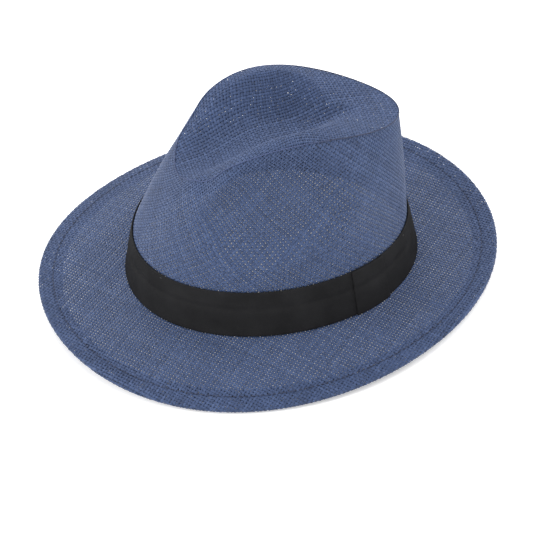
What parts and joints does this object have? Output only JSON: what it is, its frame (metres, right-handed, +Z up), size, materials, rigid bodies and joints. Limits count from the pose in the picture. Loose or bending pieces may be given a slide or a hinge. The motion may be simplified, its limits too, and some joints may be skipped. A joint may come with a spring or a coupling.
{
  "type": "fedora hat",
  "caption": "Woven straw fedora with a dented teardrop crown, a wide brim with a wired hem, a flat ribbon with a keeper, and a sweatband inside.",
  "frame": {"origin": "middle of the underside of the hat's bounding box, in the plane that the brim stands on", "axes": "+Z up, -Y towards the front of the hat, +X towards the wearer's left"},
  "size_m": [0.279, 0.3221, 0.143],
  "materials": {
    "woven_straw": "open plain weave of navy paper straw, matt with a slight sheen",
    "seam_cord": "dark twisted cord",
    "navy_thread": "twisted polyester thread",
    "seam_tape": "plain woven bias tape",
    "black_ribbon": "fine ribbed matt ribbon",
    "black_thread": "twisted polyester thread",
    "sweat_cloth": "ribbed elastic sweatband cloth",
    "tab_cloth": "plain woven tape, blank",
    "spring_wire": "drawn spring steel",
    "ferrule_metal": "crimped tube"
  },
  "bodies": {
    "root": {"crown_tip": "woven_straw", "crown_side": "woven_straw", "brim": "woven_straw", "brim_hem": "woven_straw", "tip_seam_cord": "seam_cord", "tip_seam_tape": "seam_tape", "back_seam_tape": "seam_tape", "brim_wire": "spring_wire", "wire_ferrule": "ferrule_metal", "hem_stitching": "navy_thread", "headline_stitching": "black_thread", "hat_band": "black_ribbon", "band_keeper": "black_ribbon", "band_tacks": "black_thread", "sweatband": "sweat_cloth", "sweatband_join": "sweat_cloth", "size_tab": "tab_cloth"}
  },
  "joints": []
}
